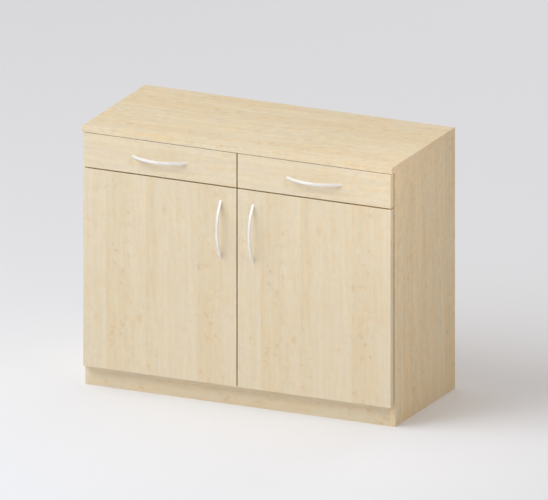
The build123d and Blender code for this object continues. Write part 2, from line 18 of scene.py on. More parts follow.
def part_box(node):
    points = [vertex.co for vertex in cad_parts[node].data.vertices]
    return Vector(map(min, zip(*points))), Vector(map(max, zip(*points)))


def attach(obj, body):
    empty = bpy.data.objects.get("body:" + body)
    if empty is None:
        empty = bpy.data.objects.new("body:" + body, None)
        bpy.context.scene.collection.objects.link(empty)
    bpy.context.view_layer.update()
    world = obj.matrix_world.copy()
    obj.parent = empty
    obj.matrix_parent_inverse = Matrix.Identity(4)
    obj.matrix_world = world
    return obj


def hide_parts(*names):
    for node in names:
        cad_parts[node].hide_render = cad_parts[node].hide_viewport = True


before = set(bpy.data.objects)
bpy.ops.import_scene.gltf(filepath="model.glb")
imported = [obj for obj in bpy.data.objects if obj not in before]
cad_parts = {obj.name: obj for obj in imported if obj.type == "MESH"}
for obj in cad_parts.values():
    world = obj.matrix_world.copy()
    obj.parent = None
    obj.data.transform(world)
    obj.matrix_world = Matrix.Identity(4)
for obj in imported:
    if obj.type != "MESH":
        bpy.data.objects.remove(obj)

log = logging.getLogger("sideboard")

Colour = tuple[float, float, float, float]
Point = tuple[float, float, float]
Node = bpy.types.Node
Socket = bpy.types.NodeSocket
PHOTO_WIDTH = 548
QUARTER_TURN = math.pi / 2
FULL_TURN = 2 * math.pi
ALONG_X, ALONG_Y, ALONG_Z = 0, 1, 2

WHITE_LEVEL = 255
SHARP_ANGLE = math.radians(40)
WIDTH_GAP = 0.004
LENGTH_GAP = 0.04
TOUCH = 0.0001


def in_scene(name: str, data: bpy.types.ID) -> bpy.types.Object:
    """A new object with this data, put in the scene."""
    thing = bpy.data.objects.new(name, data)
    bpy.context.scene.collection.objects.link(thing)
    return thing


def tone(red: float, green: float, blue: float) -> Colour:
    """An opaque colour from three display values out of 255, turned to linear light."""
    shown = Color((red / WHITE_LEVEL, green / WHITE_LEVEL, blue / WHITE_LEVEL))
    return (*shown.from_srgb_to_scene_linear(), 1.0)


@dataclass(frozen=True)
class Layer:
    """One layer of noise: its cells to the metre along each axis, its detail and its roughness."""

    scale: Point
    detail: float
    rough: float = 0.5


@dataclass(frozen=True)
class Rise:
    """A smooth step: as a value goes from low to high, the output goes from first to last."""

    low: float
    high: float
    first: float = 0.0
    last: float = 1.0


class Grain(Enum):
    """The direction in which a board's grain runs, as the turn that lays it along Z."""

    ACROSS = (0.0, -QUARTER_TURN, 0.0)
    DEEP = (QUARTER_TURN, 0.0, 0.0)
    UPRIGHT = (0.0, 0.0, 0.0)


class Graph:
    """Adds and links the nodes of one tree, so that a recipe reads from top to bottom."""

    COLUMN = 190
    BEND_SCALE = 45.0
    BEND_DETAIL = 2.0

    def __init__(self, tree: bpy.types.NodeTree) -> None:
        """Starts on the empty tree of a material or a group."""
        self.tree = tree
        self.count = 0

    def add(self, kind: str, inputs: dict | None = None, **settings: object) -> Node:
        """Adds one node.

        Args:
            kind: the node's type name.
            inputs: socket name or number to a value or to an output that feeds it.
            settings: the node's own properties.

        Returns:
            The new node.
        """
        node = self.tree.nodes.new(kind)
        node.location = (self.count * self.COLUMN, 0)
        self.count += 1
        for name, value in settings.items():
            setattr(node, name, value)
        for name, value in (inputs or {}).items():
            self.feed(node.inputs[name], value)
        return node

    def feed(self, socket: Socket, value: object) -> None:
        """Links an output to a socket, or sets the socket's own value."""
        if isinstance(value, Socket):
            self.tree.links.new(value, socket)
        else:
            socket.default_value = value

    def math(self, operation: str, *values: object) -> Socket:
        """One sum, product or other operation on numbers, as its output."""
        return self.add("ShaderNodeMath", dict(enumerate(values)), operation=operation).outputs[0]

    def blend(self, share: object, first: object, second: object) -> Socket:
        """Two colours mixed, with this share of the second one, as an output."""
        node = self.add("ShaderNodeMix", data_type="RGBA", clamp_factor=True)
        for name, value in (("Factor_Float", share), ("A_Color", first), ("B_Color", second)):
            self.feed(next(s for s in node.inputs if s.identifier == name), value)
        return next(s for s in node.outputs if s.identifier == "Result_Color")

    def ramp(self, value: object, rise: Rise) -> Socket:
        """A value turned into a smooth step, as an output."""
        inputs = {"Value": value, "From Min": rise.low, "From Max": rise.high}
        inputs |= {"To Min": rise.first, "To Max": rise.last}
        node = self.add("ShaderNodeMapRange", inputs, interpolation_type="SMOOTHSTEP")
        return node.outputs["Result"]

    def stretch(self, vector: object, scale: Point) -> Socket:
        """A vector stretched along its three axes, as an output."""
        node = self.add("ShaderNodeVectorMath", {0: vector, 1: scale}, operation="MULTIPLY")
        return node.outputs["Vector"]

    def noise(self, vector: object, layer: Layer) -> Socket:
        """A layer of noise read at a vector, as an output from 0 to 1."""
        stretched = self.stretch(vector, layer.scale)
        inputs = {"Vector": stretched, "Scale": 1.0, "Detail": layer.detail, "Roughness": layer.rough}
        return self.add("ShaderNodeTexNoise", inputs).outputs["Fac"]

    def swing(self, value: object, share: float) -> Socket:
        """A noise value turned into a swing either way round nought, of this share."""
        return self.math("MULTIPLY", self.math("SUBTRACT", value, 0.5), share)

    def total(self, values: list[object]) -> Socket:
        """The sum of several numbers, as an output."""
        whole = values[0]
        for value in values[1:]:
            whole = self.math("ADD", whole, value)
        return whole

    def vector(self, *parts: object) -> Socket:
        """Three numbers as one vector, as an output."""
        return self.add("ShaderNodeCombineXYZ", dict(enumerate(parts))).outputs[0]

    def scatter(self, place: object, scale: Point, waver: Point) -> tuple[Socket, Socket]:
        """Cells of a stretched lattice, bent a little, to scatter small marks with.

        Args:
            place: the vector to scatter them on.
            scale: cells to the metre along each axis.
            waver: how far the cells are bent along each axis, in cells.

        Returns:
            The cell's own random value, and the distance from its centre in cells.
        """
        inputs = {"Vector": place, "Scale": self.BEND_SCALE, "Detail": self.BEND_DETAIL}
        bend = self.stretch(self.add("ShaderNodeTexNoise", inputs).outputs["Color"], waver)
        lattice = {0: self.stretch(place, scale), 1: bend}
        bent = self.add("ShaderNodeVectorMath", lattice, operation="ADD").outputs[0]
        cells = self.add("ShaderNodeTexVoronoi", {"Vector": bent, "Scale": 1.0}, feature="F1")
        pick = self.add("ShaderNodeSeparateColor", {0: cells.outputs["Color"]})
        return pick.outputs[0], cells.outputs["Distance"]

    def place_group(self, name: str, inputs: dict[str, object]) -> Node:
        """Places a shared group.

        Args:
            name: the group's name.
            inputs: its own values, or outputs that feed it, by socket name.

        Returns:
            The group's node.
        """
        node = self.add("ShaderNodeGroup", node_tree=bpy.data.node_groups[name])
        for socket, value in inputs.items():
            self.feed(node.inputs[socket], value)
        return node


@dataclass
class Group:
    """A shader node group under construction, with its named sockets."""

    name: str
    inputs: dict[str, str]
    outputs: dict[str, str]
    tree: bpy.types.NodeTree = field(init=False)

    def __post_init__(self) -> None:
        """Makes the tree and its sockets, inputs first."""
        self.tree = bpy.data.node_groups.new(self.name, "ShaderNodeTree")
        for sockets, way in ((self.inputs, "INPUT"), (self.outputs, "OUTPUT")):
            for name, kind in sockets.items():
                self.tree.interface.new_socket(name, in_out=way, socket_type=f"NodeSocket{kind}")

    def open(self) -> tuple[Graph, Node]:
        """The graph to build in, and the node that brings the inputs."""
        graph = Graph(self.tree)
        return graph, graph.add("NodeGroupInput")

    def close(self, graph: Graph, results: dict[str, object]) -> None:
        """Feeds the outputs, which finishes the group."""
        graph.add("NodeGroupOutput", results)


def surface_group(name: str, **extras: str) -> Group:
    """A group that puts out a colour between two, a mask for gloss and a height.

    Args:
        name: the group's name.
        extras: further inputs by name, with their kinds.

    Returns:
        The group, ready to be opened.
    """
    inputs = {"Vector": "Vector", "Light": "Color", "Dark": "Color", **extras}
    return Group(name, inputs, {"Color": "Color", "Gloss": "Float", "Height": "Float"})


@dataclass(frozen=True)
class LeafLayout:
    """Where the veneer leaves of the maple lie, side by side across the grain."""

    repeat: float = 0.5
    edges: Point = (0.075, 0.203, 0.369)
    seeds_per_metre: float = 200.0
    reach: Rise = Rise(0.0, 1.0, 0.05, 0.13)

    def build(self) -> None:
        """Makes a group that puts out the leaf's random number, and how dark it is at this place.

        Each leaf edge comes back every repeat, so the distance from a leaf's own edge is the least
        of the distances from all of them. A leaf is dark at its edge and fades out over its reach.
        """
        group = Group("leaf_layout", {"Across": "Float"}, {"Leaf": "Float", "Fade": "Float"})
        graph, given = group.open()
        across = given.outputs["Across"]
        distance = self.repeat
        for edge in self.edges:
            turns = graph.math("MULTIPLY", graph.math("SUBTRACT", across, edge), 1 / self.repeat)
            beyond = graph.math("MULTIPLY", graph.math("FRACT", turns), self.repeat)
            distance = graph.math("MINIMUM", beyond, distance)
        start = graph.math("SUBTRACT", across, distance)
        seed = graph.math("ROUND", graph.math("MULTIPLY", start, self.seeds_per_metre))
        leaf = graph.add("ShaderNodeTexWhiteNoise", {"W": seed}, noise_dimensions="1D").outputs["Value"]
        gone = graph.math("DIVIDE", distance, graph.ramp(leaf, self.reach))
        fade = graph.ramp(graph.math("SUBTRACT", 1.0, gone), Rise(0.0, 1.0))
        group.close(graph, {"Leaf": leaf, "Fade": fade})


@dataclass(frozen=True)
class MapleFigure:
    """The printed maple figure, with its grain along Z.

    Its scales run across the grain, from leaf to leaf and along the grain. The shares named hue mix
    the light colour with the dark one, and those named light change the brightness.
    """

    waver: Layer = Layer((11.0, 40.0, 7.0), 2.0)
    waver_reach: float = 0.02
    streaks: Layer = Layer((230.0, 90.0, 5.0), 5.0, 0.66)
    ribbons: Layer = Layer((80.0, 70.0, 3.0), 3.0)
    drift: Layer = Layer((9.0, 50.0, 5.0), 2.0)
    figure: Layer = Layer((70.0, 30.0, 50.0), 4.0, 0.6)
    figured: Layer = Layer((8.0, 20.0, 6.0), 1.0)
    figured_rise: Rise = Rise(0.4, 0.65, 0.35, 1.0)
    curl: Layer = Layer((24.0, 25.0, 40.0), 3.0)
    pores: Layer = Layer((1300.0, 10.0, 22.0), 2.0)
    patches: Layer = Layer((34.0, 30.0, 9.0), 3.0)
    patches_rise: Rise = Rise(0.5, 0.75, 0.0, 0.75)

    ribbons_hue: float = 0.7
    drift_hue: float = 0.25
    streaks_hue: float = 1.6
    curl_hue: float = 0.8
    leaf_hue: float = 0.35
    edge_hue: float = 0.3
    leaf_warmth: float = 0.3
    edge_warmth: float = 0.7
    streaks_light: float = 0.23
    figure_light: float = 0.12
    curl_light: float = 0.07
    pores_light: float = 0.09
    dashes_light: float = -0.08

    knot_scale: Point = (36.0, 36.0, 38.0)
    knot_waver: Point = (2.2, 2.2, 1.6)
    knot_chance: Rise = Rise(0.78, 1.1)
    edge_knots: float = 0.3
    halo: Rise = Rise(0.1, 0.8, 0.35, 0.0)
    core: Rise = Rise(0.05, 0.45, 1.0, 0.0)
    dash_scale: Point = (19.0, 19.0, 118.0)
    dash_waver: Point = (0.5, 0.5, 3.4)
    dash_chance: Rise = Rise(0.955, 0.985)
    edge_dashes: float = 0.03
    dash: Rise = Rise(0.0, 0.44, 1.0, 0.0)

    def build(self) -> None:
        """Makes the group.

        Veneer leaves are dark and warm along one edge. Over them lie wavering streaks drawn out
        along the grain, a fine cross figure, warm patches, knots and small dark dashes. Hue and
        brightness are summed apart, because the streaks are greyer than the leaves' shading.
        """
        group = surface_group("maple_figure", Warm="Color", Mark="Color", Contrast="Float", Marks="Float")
        graph, given = group.open()
        place, contrast = given.outputs["Vector"], given.outputs["Contrast"]
        split = graph.add("ShaderNodeSeparateXYZ", {0: place})
        across = graph.math("ADD", split.outputs[0], split.outputs[1])
        along = split.outputs[2]
        layout = graph.place_group("leaf_layout", {"Across": across})
        leaf, fade = layout.outputs["Leaf"], layout.outputs["Fade"]

        flat = graph.vector(across, leaf, along)
        waver = graph.swing(graph.noise(flat, self.waver), self.waver_reach)
        within = graph.vector(graph.math("ADD", across, waver), leaf, along)
        streaks = graph.noise(within, self.streaks)
        curl = graph.noise(within, self.curl)
        pores = graph.noise(within, self.pores)

        hues = [
            graph.swing(graph.noise(within, self.ribbons), self.ribbons_hue),
            graph.swing(graph.noise(within, self.drift), self.drift_hue),
            graph.swing(streaks, self.streaks_hue),
            graph.swing(curl, self.curl_hue),
        ]
        shading = graph.math("MULTIPLY_ADD", fade, self.edge_hue, self.leaf_hue)
        depth = graph.math("MULTIPLY_ADD", graph.total(hues), contrast, shading)
        ground = graph.blend(depth, given.outputs["Light"], given.outputs["Dark"])
        patches = graph.ramp(graph.noise(within, self.patches), self.patches_rise)
        edges = graph.math("MULTIPLY_ADD", fade, self.edge_warmth, self.leaf_warmth)
        warmed = graph.blend(graph.math("MULTIPLY", patches, edges), ground, given.outputs["Warm"])
        knotted = self.knots(graph, given, fade, warmed)

        figure = graph.swing(graph.noise(within, self.figure), self.figure_light)
        figured = graph.ramp(graph.noise(within, self.figured), self.figured_rise)
        lights = [
            graph.swing(streaks, self.streaks_light),
            graph.math("MULTIPLY", figure, figured),
            graph.swing(curl, self.curl_light),
            graph.swing(pores, self.pores_light),
            self.dashes(graph, given, fade),
        ]
        share = graph.math("MULTIPLY_ADD", graph.total(lights), contrast, 1.0)
        scaled = graph.add("ShaderNodeVectorMath", {0: knotted, "Scale": share}, operation="SCALE")
        group.close(graph, {"Color": scaled.outputs[0], "Gloss": streaks, "Height": pores})

    def knots(self, graph: Graph, given: Node, fade: Socket, ground: Socket) -> Socket:
        """Lays knots on the ground: a warm halo round a dark core, more of them near a leaf's edge.

        Args:
            graph: the figure's graph.
            given: the node that brings the inputs.
            fade: how near the leaf's edge is.
            ground: the colour so far.

        Returns:
            The colour with its knots.
        """
        picked, apart = graph.scatter(given.outputs["Vector"], self.knot_scale, self.knot_waver)
        odds = graph.math("ADD", picked, graph.math("MULTIPLY", fade, self.edge_knots))
        chosen = graph.ramp(odds, self.knot_chance)
        halo = graph.math("MULTIPLY", graph.ramp(apart, self.halo), chosen)
        core = graph.math("MULTIPLY", graph.ramp(apart, self.core), chosen)
        ringed = graph.blend(halo, ground, given.outputs["Warm"])
        share = graph.math("MULTIPLY", core, given.outputs["Marks"])
        return graph.blend(share, ringed, given.outputs["Mark"])

    def dashes(self, graph: Graph, given: Node, fade: Socket) -> Socket:
        """Scatters small dark dashes, a few more of them near a leaf's edge.

        Args:
            graph: the figure's graph.
            given: the node that brings the inputs.
            fade: how near the leaf's edge is.

        Returns:
            The change in brightness that they make.
        """
        picked, apart = graph.scatter(given.outputs["Vector"], self.dash_scale, self.dash_waver)
        odds = graph.math("ADD", picked, graph.math("MULTIPLY", fade, self.edge_dashes))
        drawn = graph.math("MULTIPLY", graph.ramp(apart, self.dash), graph.ramp(odds, self.dash_chance))
        strength = graph.math("MULTIPLY", given.outputs["Marks"], self.dashes_light)
        return graph.math("MULTIPLY", drawn, strength)


@dataclass(frozen=True)
class CloudySurface:
    """Fine grain over soft clouds, for moulded, coated and cast surfaces."""

    clouds: Layer = Layer((35.0, 35.0, 35.0), 3.0)
    clouds_share: float = 0.65
    grain_detail: float = 2.0
    mix: Rise = Rise(0.3, 0.7)

    def build(self) -> None:
        """Makes the group."""
        group = surface_group("cloudy_surface", **{"Grain Scale": "Float"})
        graph, given = group.open()
        place, scale = given.outputs["Vector"], given.outputs["Grain Scale"]
        clouds = graph.noise(place, self.clouds)
        inputs = {"Vector": place, "Scale": scale, "Detail": self.grain_detail}
        grain = graph.add("ShaderNodeTexNoise", inputs).outputs["Fac"]
        soft = graph.math("MULTIPLY", clouds, self.clouds_share)
        both = graph.math("MULTIPLY_ADD", grain, 1 - self.clouds_share, soft)
        colour = graph.blend(graph.ramp(both, self.mix), given.outputs["Light"], given.outputs["Dark"])
        group.close(graph, {"Color": colour, "Gloss": clouds, "Height": grain})


@dataclass(frozen=True)
class BrushedSurface:
    """Fine brush lines along Z with faint clouds, for satin metal."""

    lines: Layer = Layer((5200.0, 5200.0, 60.0), 2.0)
    clouds: Layer = Layer((60.0, 60.0, 60.0), 2.0)
    mix: Rise = Rise(0.3, 0.7)

    def build(self) -> None:
        """Makes the group."""
        group = surface_group("brushed_surface")
        graph, given = group.open()
        lines = graph.noise(given.outputs["Vector"], self.lines)
        clouds = graph.noise(given.outputs["Vector"], self.clouds)
        both = graph.math("MULTIPLY", graph.math("ADD", lines, clouds), 0.5)
        colour = graph.blend(graph.ramp(both, self.mix), given.outputs["Light"], given.outputs["Dark"])
        group.close(graph, {"Color": colour, "Gloss": clouds, "Height": lines})


def end_band() -> None:
    """Makes a group that puts out one beyond the start, either way along X, and nought within."""
    group = Group("end_band", {"Vector": "Vector", "Start": "Float"}, {"Mask": "Float"})
    graph, given = group.open()
    split = graph.add("ShaderNodeSeparateXYZ", {0: given.outputs["Vector"]})
    reach = graph.math("ABSOLUTE", split.outputs[0])
    group.close(graph, {"Mask": graph.math("GREATER_THAN", reach, given.outputs["Start"])})


@dataclass(frozen=True)
class Finish:
    """One finish: a shared surface group with its own colours, gloss and relief."""

    GLOSS_SPAN: ClassVar[tuple[float, float]] = (0.25, 0.75)
    BUMP_STRENGTH: ClassVar[float] = 0.35

    surface: str
    light: Colour
    dark: Colour
    gloss: tuple[float, float] = (0.35, 0.5)
    metallic: float = 0.0
    relief: float = 0.00005
    specular: float = 0.5
    ends: float = 0.0
    # Tint of the end faces beyond the start: painted shade, the warm tone of the shaded side.
    end_shade_tint: Point = (1.05, 0.99, 0.93)
    extras: tuple[tuple[str, object], ...] = ()

    def material(
        self, name: str, turn: Point = (0.0, 0.0, 0.0), shift: Point = (0.0, 0.0, 0.0)
    ) -> bpy.types.Material:
        """Makes one material of this finish.

        Args:
            name: the material's name.
            turn: the turn that lays the surface's grain along the group's Z axis.
            shift: how far the pattern is moved, so that no two boards match.

        Returns:
            The material, read from Object coordinates.
        """
        material = bpy.data.materials.new(name)
        material.use_nodes = True
        material.node_tree.nodes.clear()
        graph = Graph(material.node_tree)
        place = graph.add("ShaderNodeTexCoord").outputs["Object"]
        mapped = graph.add("ShaderNodeMapping", {"Vector": place, "Rotation": turn, "Location": shift})
        inputs = {"Vector": mapped.outputs[0], "Light": self.light, "Dark": self.dark, **dict(self.extras)}
        surface = graph.place_group(self.surface, inputs)
        colour = surface.outputs["Color"]
        # Beyond the start along X, at both ends, the colour is tinted warmer: painted shade in the tone of
        # the shaded side, laid on the board's end faces.
        if self.ends:
            band = graph.place_group("end_band", {"Vector": place, "Start": self.ends})
            colour = graph.blend(band.outputs["Mask"], colour, graph.stretch(colour, self.end_shade_tint))
        rough = graph.ramp(surface.outputs["Gloss"], Rise(*self.GLOSS_SPAN, *self.gloss))
        relief = {"Height": surface.outputs["Height"], "Distance": self.relief}
        bump = graph.add("ShaderNodeBump", {"Strength": self.BUMP_STRENGTH, **relief})
        shader = graph.add(
            "ShaderNodeBsdfPrincipled",
            {
                "Base Color": colour,
                "Roughness": rough,
                "Normal": bump.outputs["Normal"],
                "Metallic": self.metallic,
                "Specular IOR Level": self.specular,
            },
        )
        graph.add("ShaderNodeOutputMaterial", {"Surface": shader.outputs["BSDF"]})
        return material




def wood(contrast: float, warm: Colour, mark: Colour, marks: float) -> tuple[tuple[str, object], ...]:
    """The further inputs of the maple figure: its contrast, its warm colour and its marks."""
    return (("Contrast", contrast), ("Warm", warm), ("Mark", mark), ("Marks", marks))


MAPLE_TONES = (tone(227, 201, 161), tone(207, 177, 131), 0.4)
MAPLE = Finish(
    "maple_figure",
    light=tone(233, 219, 192),
    dark=tone(225, 205, 169),
    gloss=(0.38, 0.5),
    relief=0.00006,
    specular=0.4,
    extras=wood(1.6, *MAPLE_TONES),
)
DRAWER_MAPLE = replace(MAPLE, extras=wood(2.3, *MAPLE_TONES))
# The top's end faces, beyond 0.4992 m along X, are tinted warmer: painted shade in the tone of the shaded
# side.
TOP_MAPLE = replace(
    MAPLE,
    light=tone(233, 217, 187),
    dark=tone(224, 202, 162),
    ends=0.4992,
    extras=wood(2.9, *MAPLE_TONES),
)
# A warmer, more saturated copy of the maple with more contrast, for the right side only: painted shade,
# the tone that the side standing in shade takes on. The lit left side keeps the plain drawer maple.
SHADED_SIDE_MAPLE = replace(
    MAPLE,
    light=tone(238, 219, 183),
    dark=tone(230, 204, 159),
    extras=wood(2.9, tone(228, 198, 152), tone(204, 170, 120), 0.45),
)
BACK_SHEET = Finish(
    "maple_figure",
    light=tone(226, 211, 184),
    dark=tone(212, 192, 158),
    gloss=(0.5, 0.62),
    relief=0.00008,
    specular=0.3,
    extras=wood(1.0, tone(216, 190, 154), tone(190, 160, 120), 0.3),
)
BEECH = Finish(
    "maple_figure",
    light=tone(224, 196, 160),
    dark=tone(200, 164, 122),
    gloss=(0.55, 0.7),
    relief=0.00012,
    extras=wood(1.0, tone(208, 168, 128), tone(164, 120, 84), 0.4),
)
DRAWER_BOARD = Finish(
    "cloudy_surface",
    light=tone(233, 231, 225),
    dark=tone(229, 226, 219),
    gloss=(0.45, 0.55),
    extras=(("Grain Scale", 1500.0),),
)
SATIN_SILVER = Finish(
    "brushed_surface",
    light=tone(246, 243, 240),
    dark=tone(236, 233, 230),
    gloss=(0.42, 0.52),
    metallic=0.3,
    relief=0.00002,
)
NICKEL = Finish(
    "brushed_surface",
    light=tone(214, 212, 206),
    dark=tone(190, 187, 180),
    gloss=(0.18, 0.3),
    metallic=1.0,
    relief=0.00001,
)
ZINC = Finish(
    "cloudy_surface",
    light=tone(204, 208, 214),
    dark=tone(172, 176, 182),
    gloss=(0.25, 0.42),
    metallic=1.0,
    relief=0.00002,
    extras=(("Grain Scale", 2400.0),),
)
CASTING = Finish(
    "cloudy_surface",
    light=tone(178, 178, 176),
    dark=tone(148, 148, 146),
    gloss=(0.42, 0.58),
    metallic=1.0,
    relief=0.00004,
    extras=(("Grain Scale", 1800.0),),
)
WHITE_COAT = Finish(
    "cloudy_surface",
    light=tone(238, 238, 234),
    dark=tone(230, 230, 226),
    gloss=(0.35, 0.45),
    relief=0.00004,
    extras=(("Grain Scale", 3200.0),),
)
NYLON = Finish(
    "cloudy_surface",
    light=tone(232, 230, 220),
    dark=tone(222, 219, 208),
    gloss=(0.35, 0.5),
    relief=0.00002,
    extras=(("Grain Scale", 2600.0),),
)
SOFT_PAD = Finish(
    "cloudy_surface",
    light=tone(226, 228, 226),
    dark=tone(212, 214, 212),
    gloss=(0.25, 0.35),
    relief=0.00001,
    extras=(("Grain Scale", 1200.0),),
)


class Wardrobe:
    """Hands out one material to each piece and keeps the patterns of no two boards alike."""

    SHIFT = (0.613, 0.377, 1.171)

    def __init__(self) -> None:
        """Builds the shared surface groups and starts with no material."""
        for surface in (LeafLayout(), MapleFigure(), CloudySurface(), BrushedSurface()):
            surface.build()
        end_band()
        self.made = 0

    def dress(
        self,
        piece: bpy.types.Object,
        finish: Finish,
        grain: Grain = Grain.UPRIGHT,
        shift: Point | None = None,
    ) -> None:
        """Puts a material of this finish on a piece.

        Args:
            piece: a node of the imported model, or a new piece.
            finish: the finish to make the material from.
            grain: the way that the finish's grain runs on this piece.
            shift: how far the pattern is moved, or none for a shift of the piece's own.
        """
        self.made += 1
        moved = shift or tuple(self.made * step for step in self.SHIFT)
        material = finish.material(f"{piece.name}_finish", grain.value, moved)
        piece.data.materials.clear()
        piece.data.materials.append(material)
        log.info("dressed %s", piece.name)

    def dress_node(self, node: str, finish: Finish, grain: Grain = Grain.UPRIGHT) -> None:
        """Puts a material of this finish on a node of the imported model."""
        self.dress(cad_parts[node], finish, grain)

    def dress_board(self, node: str, finish: Finish, grain: Grain, across: float) -> None:
        """Dresses a board so that its figure starts at its own low corner.

        Args:
            node: the board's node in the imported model.
            finish: the finish to make the material from.
            grain: the way that the grain runs.
            across: which place of the figure lies at the corner, across the grain.
        """
        low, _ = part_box(node)
        corner = Euler(grain.value).to_matrix() @ low
        shift = (across - corner.x - corner.y, 0.0, -corner.z)
        self.dress(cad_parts[node], finish, grain, shift)


def surface_piece(name: str, points: np.ndarray, ring: bool = False) -> bpy.types.Object:
    """Makes a smooth piece from grids of points, one grid for each of its solids.

    Rows of a grid follow each other along the solid, and each row goes once round it. The first and
    last rows are closed with a face each, or joined to each other.

    Args:
        name: the piece's name.
        points: an array of solids, rows, columns and three coordinates.
        ring: whether a solid's last row joins its first.

    Returns:
        The new piece, with its mesh in place and its faces outwards.
    """
    solids, rows, columns = points.shape[:3]
    here = np.arange(solids * rows * columns).reshape(solids, rows, columns)
    beside = np.roll(here, -1, axis=2)
    spans = rows if ring else rows - 1
    below, below_beside = np.roll(here, -1, axis=1), np.roll(beside, -1, axis=1)
    quads = np.stack([here, below, below_beside, beside], axis=-1)[:, :spans].reshape(-1, 4)
    faces = quads.tolist()
    if not ring:
        faces += here[:, 0].tolist() + here[:, -1, ::-1].tolist()
    mesh = bpy.data.meshes.new(name)
    mesh.from_pydata(points.reshape(-1, 3).tolist(), [], faces)
    mesh.polygons.foreach_set("use_smooth", np.ones(len(mesh.polygons), bool))
    mesh.set_sharp_from_angle(angle=SHARP_ANGLE)
    mesh.update()
    return in_scene(name, mesh)


@dataclass
class Solid:
    """One solid of a node whose solids are round about the same direction."""

    low: np.ndarray
    high: np.ndarray
    axis: int
    radius: float
    tip_radius: float
    bore: float
    head_high: bool

    @classmethod
    def of(cls, points: np.ndarray, axis: int) -> "Solid":
        """Measures a solid from its points.

        Args:
            points: the solid's points.
            axis: the direction that it is round about.

        Returns:
            The solid with its box, its radius at its widest part, at the other end and at its
            narrowest, and the end that is nearer to its widest part.
        """
        low, high = points.min(axis=0), points.max(axis=0)
        middle = (low + high) / 2
        across = [direction for direction in range(3) if direction != axis]
        reach = np.hypot(*(points[:, across] - middle[across]).T)
        widest = points[reach > reach.max() - TOUCH, axis].mean()
        head_high = bool(widest > middle[axis])
        tip = low[axis] if head_high else high[axis]
        at_tip = reach[np.abs(points[:, axis] - tip) < TOUCH]
        return cls(low, high, axis, reach.max(), at_tip.max(), reach.min(), head_high)

    @property
    def length(self) -> float:
        """The solid's length along its axis."""
        return float(self.high[self.axis] - self.low[self.axis])

    def turned(self, radius: np.ndarray, depth: np.ndarray, angle: np.ndarray) -> np.ndarray:
        """Carries a profile round the solid's axis.

        A point lies at the start + its depth along the axis + its radius times the cosine and sine
        of its angle along the two directions across. The start is the head's end.

        Args:
            radius: rows and columns of distances from the axis.
            depth: rows and columns of distances from the head's end.
            angle: the angle of each column.

        Returns:
            Rows, columns and three coordinates.
        """
        inward = np.zeros(3)
        inward[self.axis] = -1.0 if self.head_high else 1.0
        first = np.zeros(3)
        first[(self.axis + 1) % 3] = 1.0
        second = np.cross(first, inward)
        start = (self.low + self.high) / 2
        start[self.axis] = self.high[self.axis] if self.head_high else self.low[self.axis]
        spoke = np.cos(angle)[:, None] * first + np.sin(angle)[:, None] * second
        return start + radius[..., None] * spoke + depth[..., None] * inward


def separate_solids(node: str, axis: int) -> list[Solid]:
    """Finds a node's solids, which stand apart from each other.

    The points are sorted along each direction, and parted where the next one is further away than
    a gap within a solid. Solids either side of the middle are parted as well.

    Args:
        node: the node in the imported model.
        axis: the direction that its solids are round about.

    Returns:
        The measured solids.
    """
    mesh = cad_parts[node].data
    points = np.empty(len(mesh.vertices) * 3)
    mesh.vertices.foreach_get("co", points)
    points = points.reshape(-1, 3)
    labels = (points[:, axis] > 0).astype(int)
    for direction in range(3):
        order = np.argsort(points[:, direction])
        parted = np.diff(points[order, direction]) > (LENGTH_GAP if direction == axis else WIDTH_GAP)
        rank = np.empty(len(points), int)
        rank[order] = np.concatenate([[0], np.cumsum(parted)])
        labels = labels * len(points) + rank
    return [Solid.of(points[labels == label], axis) for label in np.unique(labels)]


@dataclass
class Fitting(ABC):
    """A small turned fitting that takes the place of a node, with a copy for each of its solids."""

    FINISH: ClassVar[Finish]
    SLOT: ClassVar[str]
    RING: ClassVar[bool] = False

    node: str
    body: str
    axis: int
    around: int = 32

    def build(self, wardrobe: Wardrobe) -> None:
        """Makes the piece, and gives it its finish and body.

        Args:
            wardrobe: where its material comes from.
        """
        grids = [self.grid(solid) for solid in separate_solids(self.node, self.axis)]
        piece = surface_piece(f"{self.node}_turned", np.stack(grids), ring=self.RING)
        wardrobe.dress(piece, self.FINISH)
        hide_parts(self.node)
        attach(piece, self.body)
        log.info("built %s", piece.name)

    @abstractmethod
    def grid(self, solid: Solid) -> np.ndarray:
        """The surface of one solid, as rows, columns and three coordinates."""

    def angles(self) -> np.ndarray:
        """The angle of each column round the fitting."""
        return np.linspace(0.0, FULL_TURN, self.around, endpoint=False)

    def revolve(self, solid: Solid, radius: np.ndarray, depth: np.ndarray) -> np.ndarray:
        """Turns a plain round profile, one radius and depth for each row, about a solid's axis."""
        level = np.ones(self.around)
        return solid.turned(radius[:, None] * level, depth[:, None] * level, self.angles())


